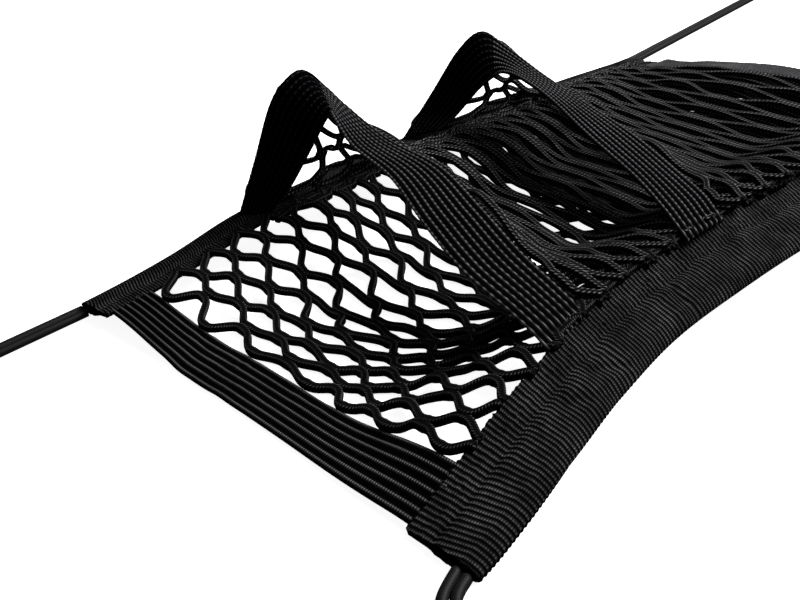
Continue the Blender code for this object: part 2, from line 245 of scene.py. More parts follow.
# The rows of the base net's junctions, from the far hem to the near one: their shares of the way
# from the near hem to the far one at the open end, under the first tent and at the closed end, and
# how far their cells lean towards the open end.
Row = namedtuple("Row", "open tent closed lean")
NET_ROWS = (
    Row(1.01, 1.01, 1.01, 0.0),
    Row(0.95, 0.92, 0.94, 0.0),
    Row(0.881, 0.856, 0.87, 0.0),
    Row(0.812, 0.78, 0.79, 0.0),
    Row(0.738, 0.685, 0.71, 2.0),
    Row(0.632, 0.54, 0.63, 10.0),
    Row(0.548, 0.43, 0.55, 14.5),
    Row(0.442, 0.34, 0.47, 14.5),
    Row(0.376, 0.255, 0.39, 12.0),
    Row(0.325, 0.2, 0.31, 9.0),
    Row(0.265, 0.155, 0.235, 7.0),
    Row(0.2, 0.11, 0.165, 5.0),
    Row(0.12, 0.07, 0.1, 3.0),
    Row(0.05, 0.03, 0.045, 1.0),
    Row(-0.01, -0.01, -0.01, 0.0),
)

# The rows of a pocket net's junctions, as shares of the way from the near hem to the far one.
POCKET_ROWS = (0.0, 0.08, 0.165, 0.255, 0.345, 0.435, 0.525, 0.615, 0.705, 0.79, 0.865, 0.935, 1.0)
NET_TUCK = 3.0
NET_TUCK_SHARE = 0.05
NET_TUCK_FADE = 0.3
CLOTH_GRID = 160

# The elastics. A pocket's far leg is plainer than its near one, and its foot runs under the hem.
RIB_FIRST = 1.8
RIB_HEIGHT = 0.5
ELASTIC_BODY_HALF = 0.5
Edge = namedtuple("Edge", "reach least")
ELASTIC_EDGE = Edge(0.8, 0.02)
ELASTIC_COLUMNS = 55
BAND_STEP = 0.7
BAND_COARSE = 20
BAND_FOOT = np.array([0.0, 2.6, 2.2])
BAND_FOOT_REACH = 0.5
BEAD_STAGGER = 0.12
BEAD_HEIGHT = 0.28
RIM_WIDTH = 1.6
RIM_BEAD_OUT = 0.55
RIM_BEAD_HEIGHT = 0.3
FAR_LEG_PLAIN = 0.8
FAR_LEG_REACH = 12.0

# number also counts the layers up to a pocket's net, lands_x is where the net comes down to them,
# and crest_place is the crest's place along the band's table.
Pocket = namedtuple("Pocket", "number band lands_x strands rib_pitch bead_pitch crest_place")
POCKETS = (
    Pocket(1, POCKET_BAND_1, 228.0, 38, 3.5, 3.45, 4.6),
    Pocket(2, POCKET_BAND_2, 350.0, 22, 3.9, 3.1, 3.4),
)

# The open end's elastic is gathered narrower where it goes into the far binding.
END_RIB_PITCH = 4.15
END_BEAD_PITCH = 1.2
END_ROWS = 300
END_COLUMNS = 61
END_SHARES = (-0.014, 1.012)
END_LEVEL_HALF = 1.3
END_EDGE_SWAY = 0.4
END_RIPPLE = 0.2
Gather = namedtuple("Gather", "width from_share reach")
END_GATHERS = (
    Gather(1.5, 0.1, 0.3),
    Gather(4.0, 0.6, 0.35),
)

# The side bindings. outer is how far the tape's outer fold is drawn in.
Tape = namedtuple("Tape", "name side rib_pitch rib_height outer")
SIDE_TAPES = (
    Tape("near_side_binding", NEAR_SIDE, 2.4, 0.26, 0.0),
    Tape("far_side_binding", FAR_SIDE, 1.5, 0.16, 4.0),
)
TAPE_STEP = 0.5
TAPE_TOP_COLUMNS = 42
TAPE_FLAT_TO = 5.0
TAPE_ROUNDING = [4.0, 3.0, 2.0, 1.2, 0.6, 0.2]
TAPE_UNDER_EVERY = 3
TAPE_LEAST_LIFT = 0.2
WEAVE_OVER_STEP = 0.3
WEAVE_OVER_SEAM = 1.0

# Marks along a side binding: how far inward, how far each spreads, and how high it stands. The
# fold's place counts outward from the crease.
Mark = namedtuple("Mark", "inward spread height")
CREASE = Mark(21.6, 0.8, -0.9)
STITCHES = Mark(28.4, 0.5, -0.35)
CRUMPLE = Mark(25.0, 3.0, 0.3)
SWELL = Mark(11.0, 7.0, 0.75)
FOLD = Mark(3.0, 1.6, 0.6)
STITCH_PITCH = 3.1
STITCH_SHARE = 0.4

# Slow changes along a piece: how much, how fast, and a seed that sets each apart.
Sway = namedtuple("Sway", "amount rate seed")
CREASE_SWAY = Sway(0.9, 0.04, 2.0)
TUBE_SWAY = Sway(0.9, 0.045, 3.0)
HEM_SWAY = Sway(0.5, 0.11, 9.0)
CREASE_DEPTH_SWAY = Sway(0.25, 0.06, 8.0)
FOLD_SWAY = Sway(0.6, 0.07, 6.0)
EDGE_SWAY = Sway(0.3, 0.5, 5.0)

# Ribs lean over the tube and, the other way, over the hem. Their ends show as teeth at both
# edges, and the tape is frayed at the open end.
TUBE_FADE = 1.5
TUBE_LEAN = -0.3
TUBE_LEAN_REACH = 14.0
HEM_LEAN = 0.12
OUTER_TEETH = 0.35
OUTER_TEETH_REACH = 1.2
INNER_TEETH = 0.3
INNER_TEETH_REACH = 0.8
FRAY = 0.45
FRAY_REACH = 1.5

# The closed end's tape. Its outer rim is raised, most at the far side, and has small scallops.
CLOSED_ROWS = 420
CLOSED_COLUMNS = 40
CLOSED_TUCK_SHARE = 0.008
CLOSED_LENGTH = 190.0
CLOSED_LIFT = 3.0
CLOSED_LIFT_BLEND = 0.06
CLOSED_FAR_LIFT = 1.5
FAR_LIFT_FROM = 0.45
FAR_LIFT_REACH = 0.4
SCALLOP_PITCH = 3.2
SCALLOP_DEPTH = 0.6
SCALLOP_REACH = 1.0
CLOSED_EDGE = Edge(1.0, 0.05)
CLOSED_RIB_PITCH = 1.6
CLOSED_RIB_HEIGHT = 0.12
CLOSED_UNEVEN = 0.2

# The studio: a round floor that turns up into a wall and a ceiling, in metres.
FLOOR_RADIUS = 3.0
COVE_RADIUS = 2.0
FLOOR_SIDES = 96
COVE_STEPS = 12
FLOOR_GLOW = 0.92

# Two soft lamps that face the origin.
Lamp = namedtuple("Lamp", "name place size watts")
LAMPS = (
    Lamp("key", (0.85, -0.35, 1.0), 0.7, 26.0),
    Lamp("fill", (0.5, -0.8, 1.1), 0.9, 6.0),
)
WORLD_STRENGTH = 0.06

# ---- Where things lie


def to_row(points):
    """Millimetres of the tables as metres of the row frame."""
    return (np.asarray(points, float) - ORIGIN) * MM


def smooth_rows(rows, place):
    """The Catmull-Rom curve through evenly spaced rows, at places from 0 to their count less 1."""
    rows = np.asarray(rows, float)
    place = np.asarray(place, float)
    first = np.clip(np.floor(place).astype(int), 0, len(rows) - 2)
    share = place - first
    if rows.ndim > 1:
        share = share[..., None]
    before = rows[np.maximum(first - 1, 0)]
    start = rows[first]
    end = rows[first + 1]
    after = rows[np.minimum(first + 2, len(rows) - 1)]
    return 0.5 * (
        2.0 * start
        + (end - before) * share
        + (2.0 * before - 5.0 * start + 4.0 * end - after) * share**2
        + (3.0 * start - before - 3.0 * end + after) * share**3
    )


def column(table, key, name, at):
    """A table's column where its key column equals at, smoothed between the rows."""
    keys = np.array([getattr(row, key) for row in table], float)
    at = np.clip(at, keys[0], keys[-1])
    place = np.interp(at, keys, np.arange(len(keys)))
    return smooth_rows([getattr(row, name) for row in table], place)


def blend(start, end, share):
    return start + (end - start) * share


def rise(distance, reach):
    """1 at an edge, 0 from its reach on, level at both ends."""
    return 0.5 + 0.5 * np.cos(math.pi * np.clip(distance / reach, 0.0, 1.0))


def stack(x, y, z):
    return np.stack(np.broadcast_arrays(x, y, z), axis=-1).astype(float)


def side_points(table, x, inward, lift=0.0):
    """Points of a side binding: inward from its outer edge, lifted off its middle surface."""
    side = 1.0 if table is NEAR_SIDE else -1.0
    tilt = np.radians(column(table, "x", "tilt_deg", x))
    y = column(table, "x", "y", x) + side * (inward * np.cos(tilt) - lift * np.sin(tilt))
    z = column(table, "x", "z", x) + TUBE_HALF + inward * np.sin(tilt) + lift * np.cos(tilt)
    return stack(x, y, z)


def hem_edge(table, x):
    return side_points(table, x, BINDING_WIDTH + HEM_GAP)


def inner_end_x(share):
    return column(CLOSED_END, "share", "x", share) - CLOSED_END_WIDTH


def inner_end_z(share):
    return column(CLOSED_END, "share", "z", share) + CLOSED_END_HALF


def ground_height(x, y, share, half):
    """Middle height of a cloth that sags from the bindings to the floor between them."""
    near = hem_edge(NEAR_SIDE, x)
    far = hem_edge(FAR_SIDE, x)
    lifted = (near[..., 2] - half) * rise(np.abs(y - near[..., 1]), SIDE_RISE_REACH)
    lifted = lifted + (far[..., 2] - half) * rise(np.abs(far[..., 1] - y), SIDE_RISE_REACH)
    end_lift = np.maximum(0.0, inner_end_z(share) - half - lifted)
    return half + lifted + end_lift * rise(inner_end_x(share) - x, END_RISE_REACH)


def ground_points(x, share, half, above=0.0):
    """Points between the two hems, share of the way across, lifted square to the cloth."""
    near_y = hem_edge(NEAR_SIDE, x)[..., 1]
    far_y = hem_edge(FAR_SIDE, x)[..., 1]
    y = blend(near_y, far_y, share)
    z = ground_height(x, y, share, half)
    rise_x = ground_height(x + 1.0, y, share, half) - z
    rise_y = ground_height(x, y + 1.0, share, half) - z
    upward = unit(stack(-rise_x, -rise_y, 1.0))
    return stack(x, y, z) + upward * np.asarray(above)[..., None]


def strip_edges(table, place):
    sewn = smooth_rows([row.sewn for row in table], place)
    free = smooth_rows([row.free for row in table], place)
    return sewn, free


def unit(vectors):
    return vectors / np.linalg.norm(vectors, axis=-1, keepdims=True)


def net_start(table, place):
    """Where a pocket net leaves its band: behind the band's far part, beside its near part."""
    sewn, free = strip_edges(table, place)
    last = len(table) - 1
    earlier, _ = strip_edges(table, np.maximum(place - TANGENT_STEP, 0.0))
    later, _ = strip_edges(table, np.minimum(place + TANGENT_STEP, last))
    outward = unit(sewn - free)
    backward = unit(np.cross(outward, later - earlier))
    behind = 1.0 - rise(sewn[..., 1] - BEHIND_FROM_Y, BEHIND_REACH)
    behind = behind * (1.0 - rise(place, BEHIND_FOOT))
    turned = np.radians(BEHIND_DEG * behind)[..., None]
    return sewn + (outward * np.cos(turned) + backward * np.sin(turned)) * SEWN_OFFSET


def pocket_points(pocket, place, along):
    """Points of a pocket net: place along its band, and along from the band to the closed end."""
    start_x, start_y, start_z = np.moveaxis(net_start(pocket.band, place), -1, 0)
    near_y = hem_edge(NEAR_SIDE, start_x)[..., 1]
    far_y = hem_edge(FAR_SIDE, start_x)[..., 1]
    share = np.clip((start_y - near_y) / (far_y - near_y), 0.0, 1.0)
    loose = 1.0 - rise(np.minimum(share, 1.0 - share), SLACK_SHARE)
    above = pocket.number * blend(SEWN_LAYER, LOOSE_LAYER, loose)
    start_level = ground_points(start_x, share, NET_HALF, above)[..., 2]
    x = blend(start_x, inner_end_x(share), along)
    level = ground_points(x, share, NET_HALF, above)
    left = np.maximum(0.0, 1.0 - (x - start_x) / (pocket.lands_x - start_x))
    fall = left**POCKET_SLOPE_POWER
    y = level[..., 1] + (start_y - blend(near_y, far_y, share)) * fall
    z = level[..., 2] + (start_z - start_level) * fall
    return stack(level[..., 0], y, z)


# ---- Meshes


def add_object(name, data):
    added = bpy.data.objects.new(name, data)
    bpy.context.scene.collection.objects.link(added)
    return added


class Shape:
    """Gathers grids and tubes into one mesh, with a UV map for its weave."""

    def __init__(self):
        self.points = []
        self.corners = []
        self.sizes = []
        self.maps = []
        self.count = 0

    def add(self, points, faces, uvs):
        """Points in any grid, faces (m, k) of their numbers, and uvs (m, k, 2)."""
        self.points.append(points.reshape(-1, 3))
        self.add_faces(faces + self.count, uvs)
        self.count += len(self.points[-1])

    def add_faces(self, faces, uvs):
        self.corners.append(faces.ravel())
        self.sizes.append(np.full(len(faces), faces.shape[1]))
        self.maps.append(uvs.reshape(-1, 2))

    def build(self, name, material, painted_shade_material=None, painted_shade_until=0.0):
        """One mesh. Faces whose U lies below the limit given with it have the painted-shade
        material, a darker copy of the first.
        """
        mesh = bpy.data.meshes.new(name)
        points = to_row(np.concatenate(self.points))
        corners = np.concatenate(self.corners)
        sizes = np.concatenate(self.sizes)
        maps = np.concatenate(self.maps)
        mesh.vertices.add(len(points))
        mesh.vertices.foreach_set("co", points.ravel())
        mesh.loops.add(len(corners))
        mesh.loops.foreach_set("vertex_index", corners)
        first = np.concatenate(([0], np.cumsum(sizes)[:-1]))
        mesh.polygons.add(len(sizes))
        mesh.polygons.foreach_set("loop_start", first)
        mesh.update(calc_edges=True)
        cloth_map = mesh.uv_layers.new(name="cloth")
        cloth_map.uv.foreach_set("vector", maps.ravel())
        mesh.shade_smooth()
        mesh.materials.append(material)
        if painted_shade_material is not None:
            mesh.materials.append(painted_shade_material)
            is_painted_shade = maps[first, 0] < painted_shade_until
            mesh.polygons.foreach_set("material_index", is_painted_shade.astype(int))
        piece = add_object(name, mesh)
        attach(piece, "root")
        return piece


def lengths_along(points):
    steps = np.linalg.norm(np.diff(points, axis=0), axis=-1)
    return np.concatenate((np.zeros((1,) + steps.shape[1:]), np.cumsum(steps, axis=0)))


def cloth_size(grid):
    """A cloth's greatest width and length and its area, in metres, from points all over it."""
    width = lengths_along(grid)[-1].max() * MM
    length = lengths_along(np.swapaxes(grid, 0, 1))[-1].max() * MM
    a, b, c, d = grid[:-1, :-1], grid[1:, :-1], grid[:-1, 1:], grid[1:, 1:]
    halves = (np.cross(b - a, c - a), np.cross(b - d, c - d))
    doubled = sum(np.linalg.norm(half, axis=-1).sum() for half in halves)
    return (float(width), float(length)), float(doubled) / 2.0 * MM * MM


def even_points(points, step):
    """The same line with its points evenly spaced, about step apart."""
    reach = lengths_along(points)
    count = max(3, int(round(reach[-1] / step)) + 1)
    at = np.linspace(0.0, reach[-1], count)
    return np.stack([np.interp(at, reach, points[:, axis]) for axis in range(3)], axis=-1)


def add_rings(shape, points, u, v, end_uvs, flipped=False):
    """A closed tube from rows of points, each a ring. v has one value more than a ring."""
    count, sides = points.shape[:2]
    ring = np.arange(sides)
    after = np.roll(ring, -1)
    i = np.arange(count - 1)[:, None] * sides
    faces = np.stack((i + ring, i + after, i + sides + after, i + sides + ring), axis=-1)
    along = np.stack((u[:-1], u[:-1][:, after], u[1:][:, after], u[1:]), axis=-1)
    across = np.broadcast_to(np.stack((v[:-1], v[1:], v[1:], v[:-1]), axis=-1), along.shape)
    uvs = np.stack((along, across), axis=-1)
    ends = np.stack((ring[::-1], ring + (count - 1) * sides)) + shape.count
    if flipped:
        faces, uvs, ends = faces[..., ::-1], uvs[:, :, ::-1], ends[:, ::-1]
    shape.add(points, faces.reshape(-1, 4), uvs)
    shape.add_faces(ends, end_uvs)


def add_tube(shape, points, radius, sides, reference, ridge=0.0):
    """A closed tube around a line. reference is a direction that the line never takes.

    ridge is how far every other side stands out, as a share of the radius.
    """
    count = len(points)
    tangent = unit(np.gradient(points, axis=0))
    across = unit(np.cross(np.broadcast_to(reference, tangent.shape), tangent))
    upward = np.cross(tangent, across)
    angle = np.arange(sides) / sides * TAU
    radius = np.broadcast_to(radius, (count,))[:, None, None]
    reach_out = np.where(np.arange(sides) % 2 == 1, 1.0 + ridge, 1.0 - ridge)
    ring = (
        across[:, None, :] * (np.cos(angle) * reach_out)[None, :, None]
        + upward[:, None, :] * (np.sin(angle) * reach_out)[None, :, None]
    )
    reach = lengths_along(points)[:, None]
    v = np.arange(sides + 1) / sides
    end_uvs = np.stack(np.broadcast_arrays(reach[[0, -1]], v[:-1]), axis=-1)
    u = np.broadcast_to(reach, (count, sides))
    add_rings(shape, points[:, None, :] + ring * radius, u, v, end_uvs)


def add_sheet(shape, points, half, u, v):
    """A closed sheet: a grid of middle points, with half its thickness on each side of them."""
    rows, columns = points.shape[:2]
    normal = unit(np.cross(np.gradient(points, axis=0), np.gradient(points, axis=1)))
    upper = points + normal * half[..., None]
    lower = points - normal * half[..., None]
    uv = np.stack([np.broadcast_to(part, (rows, columns)) for part in (u, v)], axis=-1)
    uv = uv.reshape(-1, 2)
    number = np.arange(rows * columns).reshape(rows, columns)
    corners = (number[:-1, :-1], number[1:, :-1], number[1:, 1:], number[:-1, 1:])
    over = np.stack(corners, axis=-1).reshape(-1, 4)
    rim = np.concatenate((number[:, 0], number[-1, 1:], number[-2::-1, -1], number[0, -2:0:-1]))
    after = np.roll(rim, -1)
    below = rows * columns
    edge = np.stack((rim, rim + below, after + below, after), axis=-1)
    faces = np.concatenate((over, over[:, ::-1] + below, edge))
    shape.add(np.concatenate((upper, lower)), faces, np.concatenate((uv, uv))[faces])


def wobble(*values):
    """A smooth uneven number between -1 and 1 that depends on the values alone.

    Its own factors are odd ones, so that no repeat shows. The callers' factors say how fast it
    changes along each value, and their seeds set the pieces apart.
    """
    total = 0.0
    for k, value in enumerate(values):
        value = np.asarray(value, float)
        total = total + np.sin(value * (1.7 + 0.9 * k) + 1.3 * k)
        total = total + np.sin(value * (0.61 + 0.37 * k) + 2.1 + total)
    return np.sin(total * 1.9) * 0.9


def swayed(sway, along):
    return sway.amount * wobble(along * sway.rate, sway.seed)


def bell(distance, spread):
    """1 where distance is 0, and near 0 from twice spread on."""
    return np.exp(-((distance / spread) ** 2))


def ripples(value, pitch):
    """0 to 1 and back over each pitch."""
    return 0.5 + 0.5 * np.cos(TAU * value / pitch)


# ---- Materials


class Nodes:
    """Adds shader nodes to one material and joins them."""

    def __init__(self, name):
        self.material = bpy.data.materials.new(name)
        self.material.use_nodes = True
        self.tree = self.material.node_tree
        self.shader = self.tree.nodes["Principled BSDF"]

    def node(self, kind, **settings):
        made = self.tree.nodes.new(kind)
        for key, value in settings.items():
            setattr(made, key, value)
        return made

    def put(self, socket, value):
        if isinstance(value, bpy.types.NodeSocket):
            self.tree.links.new(value, socket)
        else:
            socket.default_value = value

    def math(self, operation, first, second=0.0, third=0.0):
        made = self.node("ShaderNodeMath", operation=operation)
        for socket, value in zip(made.inputs, (first, second, third)):
            self.put(socket, value)
        return made.outputs[0]

    def scaled(self, value, gain, base):
        return self.math("MULTIPLY_ADD", value, gain, base)

    def cloth_map(self):
        """U and V of the cloth: millimetres, floats and ribs, or sides, as each piece has it."""
        source = self.node("ShaderNodeUVMap", uv_map="cloth")
        parts = self.node("ShaderNodeSeparateXYZ")
        self.put(parts.inputs[0], source.outputs[0])
        return parts.outputs[0], parts.outputs[1]

    def wave(self, value, pitch, phase=0.0):
        """0 to 1 and back over each pitch."""
        turned = self.scaled(value, gain=TAU / pitch, base=phase)
        return self.scaled(self.math("COSINE", turned), gain=0.5, base=0.5)

    def noise(self, scale, detail=2.0):
        place = self.node("ShaderNodeTexCoord")
        made = self.node("ShaderNodeTexNoise")
        self.put(made.inputs["Vector"], place.outputs["Object"])
        self.put(made.inputs["Scale"], scale)
        self.put(made.inputs["Detail"], detail)
        return made.outputs["Fac"]

    def uneven(self, value, scale, gain, base, detail=2.0):
        """value times a noise that runs from base to base and gain."""
        noise = self.noise(scale, detail)
        return self.math("MULTIPLY", value, self.scaled(noise, gain=gain, base=base))

    def mix(self, share, first, second):
        made = self.node("ShaderNodeMix", data_type="RGBA")
        self.put(made.inputs[0], share)
        self.put(made.inputs[6], (*first, 1.0))
        self.put(made.inputs[7], (*second, 1.0))
        return made.outputs[2]

    def bump(self, height, distance):
        made = self.node("ShaderNodeBump")
        self.put(made.inputs["Distance"], distance * MM)
        self.put(made.inputs["Height"], height)
        self.put(self.shader.inputs["Normal"], made.outputs[0])

    def finish(self, colour, roughness, specular):
        self.put(self.shader.inputs["Base Color"], colour)
        self.put(self.shader.inputs["Roughness"], roughness)
        self.put(self.shader.inputs["Specular IOR Level"], specular)
        return self.material


BLACK_THREAD = (0.0012, 0.0012, 0.0014)
BLACK_TAPE = (0.0014, 0.0014, 0.0016)


def elastic_material(name, thread_sheen_colour):
    """Lengthwise ribs, each a row of small floats on dark ground. U counts floats and V ribs."""
    nodes = Nodes(name)
    u, v = nodes.cloth_map()
    rib = nodes.math("POWER", nodes.wave(v, pitch=1.0), 6.0)
    floats = nodes.math("POWER", nodes.wave(u, pitch=1.0), 1.5)
    dot = nodes.math("MULTIPLY", rib, nodes.scaled(floats, gain=0.85, base=0.15))
    ground = nodes.math("MULTIPLY", nodes.wave(u, pitch=0.5), 0.15)
    lit = nodes.uneven(dot, scale=60.0, gain=0.8, base=0.5)
    nodes.bump(nodes.math("ADD", dot, ground), distance=0.3)
    # Where the floats lie is the real weave; their pale thread colour is painted sheen on the
    # black ground.
    colour = nodes.mix(lit, BLACK_THREAD, thread_sheen_colour)
    return nodes.finish(colour, roughness=0.6, specular=0.0)


def cord_net_material(name, rung_pitch, thread_sheen_colour):
    """Knitted cord: ridges along it, one to every other side, with slanted rungs between them."""
    nodes = Nodes(name)
    u, v = nodes.cloth_map()
    ridges = STRAND_SIDES / 2.0
    ridge = nodes.wave(v, pitch=1.0 / ridges, phase=math.pi)
    slant = nodes.scaled(v, ridges * rung_pitch, u)
    rung = nodes.math("POWER", nodes.wave(slant, pitch=rung_pitch), 2.0)
    crest = nodes.scaled(nodes.math("POWER", ridge, 3.0), gain=0.94, base=0.06)
    thread = nodes.math("MULTIPLY", crest, rung)
    lit = nodes.uneven(thread, scale=90.0, gain=0.9, base=0.3)
    nodes.bump(nodes.math("ADD", thread, ridge), distance=0.35)
    # The ridges and rungs are the real knit; the crests' pale thread colour is painted sheen on
    # the cord's black.
    colour = nodes.mix(lit, BLACK_THREAD, thread_sheen_colour)
    return nodes.finish(colour, roughness=0.55, specular=0.005)


def tape_material(name, rib_pitch, warp_pitch, dark, light):
    """Grosgrain: ribs across the tape, and the fine warp that covers them."""
    nodes = Nodes(name)
    u, v = nodes.cloth_map()
    rib = nodes.math("POWER", nodes.wave(u, pitch=rib_pitch, phase=math.pi), 2.0)
    warp = nodes.scaled(nodes.wave(v, pitch=warp_pitch), gain=0.8, base=0.2)
    thread = nodes.math("MULTIPLY", rib, warp)
    lit = nodes.uneven(thread, scale=70.0, gain=1.2, base=-0.1, detail=3.0)
    lit = nodes.uneven(lit, scale=400.0, gain=1.6, base=0.2, detail=1.0)
    nodes.bump(thread, distance=0.25)
    # The ribs and warp are the real grosgrain; the light colour on their crests is painted sheen
    # over the dark ground.
    colour = nodes.mix(lit, dark, light)
    return nodes.finish(colour, roughness=0.6, specular=0.0)


def sheath_material():
    """The elastic cord's smooth braided cover."""
    nodes = Nodes("elastic_cord")
    u, v = nodes.cloth_map()
    slant = 6.0
    left = nodes.wave(nodes.scaled(v, slant, u), pitch=1.2)
    right = nodes.wave(nodes.scaled(v, -slant, u), pitch=1.2)
    braid = nodes.math("MAXIMUM", left, right)
    nodes.bump(braid, distance=0.05)
    colour = nodes.mix(braid, (0.006, 0.006, 0.0065), (0.013, 0.012, 0.012))
    return nodes.finish(colour, roughness=0.5, specular=0.12)


def floor_material():
    nodes = Nodes("floor_white")
    colour = nodes.mix(nodes.noise(3.0), (0.93, 0.93, 0.93), (0.95, 0.95, 0.95))
    nodes.put(nodes.shader.inputs["Emission Color"], (1.0, 1.0, 1.0, 1.0))
    nodes.put(nodes.shader.inputs["Emission Strength"], FLOOR_GLOW)
    return nodes.finish(colour, roughness=0.95, specular=0.1)


# ---- Pieces


def make_camera():
    lens = bpy.data.cameras.new("camera")
    lens.lens = CAMERA_LENS
    lens.clip_start = CAMERA_NEAREST
    camera = add_object("camera", lens)
    turned = Matrix.Rotation(math.radians(CAMERA_HEADING_DEG - 90.0), 4, "Z")
    turned = turned @ Matrix.Rotation(math.radians(90.0 - CAMERA_DOWN_DEG), 4, "X")
    turned = turned @ Matrix.Rotation(math.radians(CAMERA_ROLL_DEG), 4, "Z")
    camera.matrix_world = Matrix.Translation(Vector(to_row(CAMERA_PLACE))) @ turned
    bpy.context.scene.camera = camera


def heading_run(degrees):
    heading = math.radians(degrees)
    return np.array([math.cos(heading), math.sin(heading), 0.0])


def cord_middle(cord, reach):
    """The middle of a cord's two strands, reach along it, and the way that it runs there."""
    place = np.array([cord.x, cord.y, CORD_DIAMETER / 2 + CORD_LIFT])
    run = heading_run(cord.leaves_deg)
    for piece in range(CORD_PIECES):
        done = reach * (piece + 0.5) / CORD_PIECES
        turned = 1.0 - rise(done, cord.bend)
        run = heading_run(blend(cord.leaves_deg, cord.heading_deg, turned))
        place = place + run * reach / CORD_PIECES
    return place, run


def cord_route(cord):
    """Points of one cord: out beside its middle, round the loop and back."""
    half = STRAND_SPACING / 2
    radius = LOOP_WIDTH / 2
    neck = cord.length - LOOP_LENGTH * radius
    steps = round(neck / CORD_STEP)
    out = [(neck * step / steps, half) for step in range(steps + 1)]
    out += [(neck + point.reach * radius, point.out * radius) for point in HALF_LOOP]
    back = [(reach, -side) for reach, side in reversed(out)]
    route = []
    for reach, side in out + back:
        place, run = cord_middle(cord, reach)
        route.append(place + np.array([-run[1], run[0], 0.0]) * side)
    return np.array(route)


def make_cord(cord, material):
    route = cord_route(cord)
    place = np.linspace(0.0, len(route) - 1.0, len(route) * CORD_SMOOTHING)
    line = even_points(smooth_rows(route, place), CORD_POINT_STEP)
    shape = Shape()
    add_tube(shape, line, CORD_DIAMETER / 2, CORD_SIDES, (0.0, 0.0, 1.0))
    piece = shape.build(cord.name + "_sheath", material)
    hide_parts(cord.name)


def cell_x(cells):
    """Where a column of cells lies along the net, in the rows that don't lean."""
    turned = np.minimum(cells, CELLS_CHANGE_AT)
    dense = np.maximum(cells - DENSE_FROM, 0.0)
    middle = cells - turned - dense
    return CELL_START_X + OPEN_CELL * turned + CLOSED_CELL * middle + DENSE_CELL * dense


def changed(cells, change):
    """One of the base net's changes along its cells, from 0 before it to 1 after it."""
    return 1.0 - rise(cells - change.from_cell, change.reach)


def base_junction(cells, row):
    """x and share of a place in the base net's cells, at a whole row number."""
    open_share, tent_share, closed_share, lean = np.array(NET_ROWS)[row].T
    share = blend(open_share, tent_share, changed(cells, TO_TENT))
    share = blend(share, closed_share, changed(cells, TO_CLOSED))
    lean = lean * changed(cells, LEAN_BEGINS) * (1.0 - changed(cells, LEAN_ENDS))
    uneven = wobble(cells * 7.3 + row * 3.1, row * 1.7)
    share = share + BASE_ROW_UNEVEN * wobble(cells * 5.9 + row * 4.7, row * 2.9)
    return cell_x(cells) - lean + BASE_UNEVEN * uneven, share


def crossings(count):
    """Fine places along a strand, the junction before each, and how far it has crossed from there.

    A strand rests beside its neighbour at each of its count junctions.
    """
    place = np.linspace(0.0, count - 1.0, (count - 1) * JUNCTION_STEPS + 1)
    first = np.minimum(place.astype(int), count - 2)
    crossed = 1.0 - rise(place - first - JUNCTION_SHARE, 1.0 - 2.0 * JUNCTION_SHARE)
    return place, first, crossed


def between(values, first, crossed):
    """The junctions' values, carried along a strand from each to the next."""
    return blend(values[first], values[first + 1], crossed)


def beside_elastic(x, share):
    """Cells that lean over the open end's elastic are squeezed up along its inner edge instead."""
    edge = END_BAND_OUTER_X + end_band_width(np.clip(share, 0.0, 1.0))
    past = x - edge
    eased_past = 0.5 * (past + np.sqrt(past**2 + SQUEEZE_REACH**2)) - SQUEEZE_LEFT
    return edge + np.maximum(eased_past, STRAND_RADIUS - JUNCTION_HALF)


def strand_line(strand):
    """One zigzag strand through every row of the base net's junctions, as x and share."""
    count = len(NET_ROWS)
    row = np.arange(count)
    side = np.where((strand + row) % 2 == 1, 1.0, -1.0)
    x, share = base_junction(strand / 2 + 0.25 + 0.25 * side, row)
    x = beside_elastic(x, share) - side * JUNCTION_HALF
    if strand < 0:
        x = np.where(side < 0.0, beside_elastic(PAST_THE_NET_X, share) + JUNCTION_HALF, x)
    place, *crossing = crossings(count)
    return between(x, *crossing), smooth_rows(share, place), place


def knotted(radius, place):
    """A strand's radius, a little thicker where it is knitted to its neighbours."""
    return radius * (1.0 + KNOT_SWELL * bell(place - np.round(place), KNOT_REACH))


def add_strand(shape, points, radius):
    """A tube along points, with the radius of each of them."""
    line = even_points(points, STRAND_STEP)
    reach = lengths_along(points)
    at = np.linspace(0.0, reach[-1], len(line))
    add_tube(shape, line, np.interp(at, reach, radius), STRAND_SIDES, (1.0, 0.0, 0.0), CORD_RIDGE)


def add_selvedge(shape):
    """Cords that run along each hem, where the gathered mesh is sewn in."""
    x = SELVEDGE_X
    for selvedge in SELVEDGES:
        for far in (False, True):
            turned = wobble(x * 0.09 + 3.0 * selvedge.turn, 5.0 * selvedge.turn + far)
            share = selvedge.share + selvedge.swing * turned
            share = 1.0 - share if far else share
            lift = np.full(len(x), STRAND_RADIUS - NET_HALF + selvedge.lift)
            line = even_points(ground_points(x, share, NET_HALF, lift), STRAND_STEP)
            add_tube(shape, line, STRAND_RADIUS, STRAND_SIDES, (0.0, 1.0, 0.0), CORD_RIDGE)


def base_net_grid():
    """Points all over the base net's middle surface, from the near hem to the far one."""
    shares = np.linspace(0.0, 1.0, CLOTH_GRID)
    share = shares[:, None]
    x = blend(END_BAND_OUTER_X + end_band_width(share), inner_end_x(share), shares)
    return ground_points(x, np.broadcast_to(share, x.shape), NET_HALF)


def make_base_net(material):
    shape = Shape()
    for strand in BASE_STRANDS:
        x, share, place = strand_line(strand)
        x = x + STRAND_SWAY * wobble(place * 0.7 + strand, strand * 2.3)
        inner = inner_end_x(np.clip(share, 0.0, 1.0))
        x = np.minimum(x, inner + CLOSED_END_TUCK)
        raised = STRAND_LIFT * (1.0 + wobble(strand * 1.1, place))
        lift = (STRAND_RADIUS - NET_HALF + raised) * LAID_SHARE
        points = ground_points(x, share, NET_HALF, lift)
        add_strand(shape, points, knotted(STRAND_RADIUS, place))
    add_selvedge(shape)
    piece = shape.build("base_net_strands", material)
    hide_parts("base_net")
    flat, area = cloth_size(base_net_grid())


